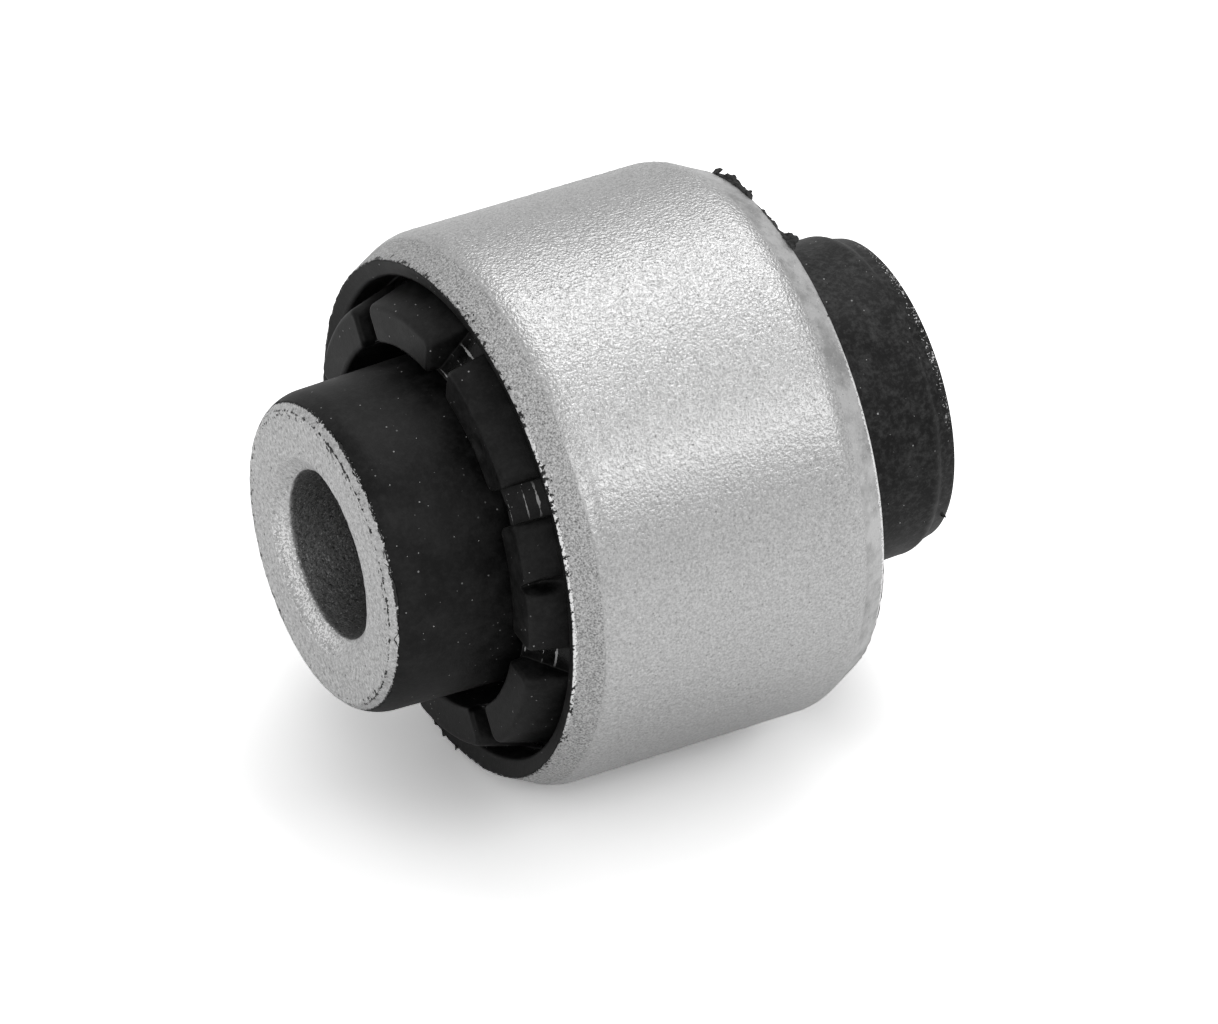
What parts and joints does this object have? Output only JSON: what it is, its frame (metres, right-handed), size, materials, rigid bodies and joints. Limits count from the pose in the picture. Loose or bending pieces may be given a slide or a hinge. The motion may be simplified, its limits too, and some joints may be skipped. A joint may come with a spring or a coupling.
{
  "type": "rubber metal bush",
  "caption": "Cylindrical bonded bush: steel inner and outer sleeves joined by a rubber body with a ring of axial stop lobes at each end.",
  "frame": {"origin": "middle of the bore, half way between the two ends of the inner sleeve", "axes": "+Z along the bore towards the end seen in the picture, -Y through the gap between two lobes that faces the viewer"},
  "size_m": [0.0402, 0.0402, 0.0446],
  "materials": {
    "inner_steel": "fine ground ends and smooth bore",
    "outer_steel": "bright shot blasted, matt on the end chamfers",
    "rubber": "moulded natural rubber, satin"
  },
  "bodies": {
    "root": {"inner_sleeve": "inner_steel", "outer_sleeve": "outer_steel", "rubber_body": "rubber"}
  },
  "joints": []
}
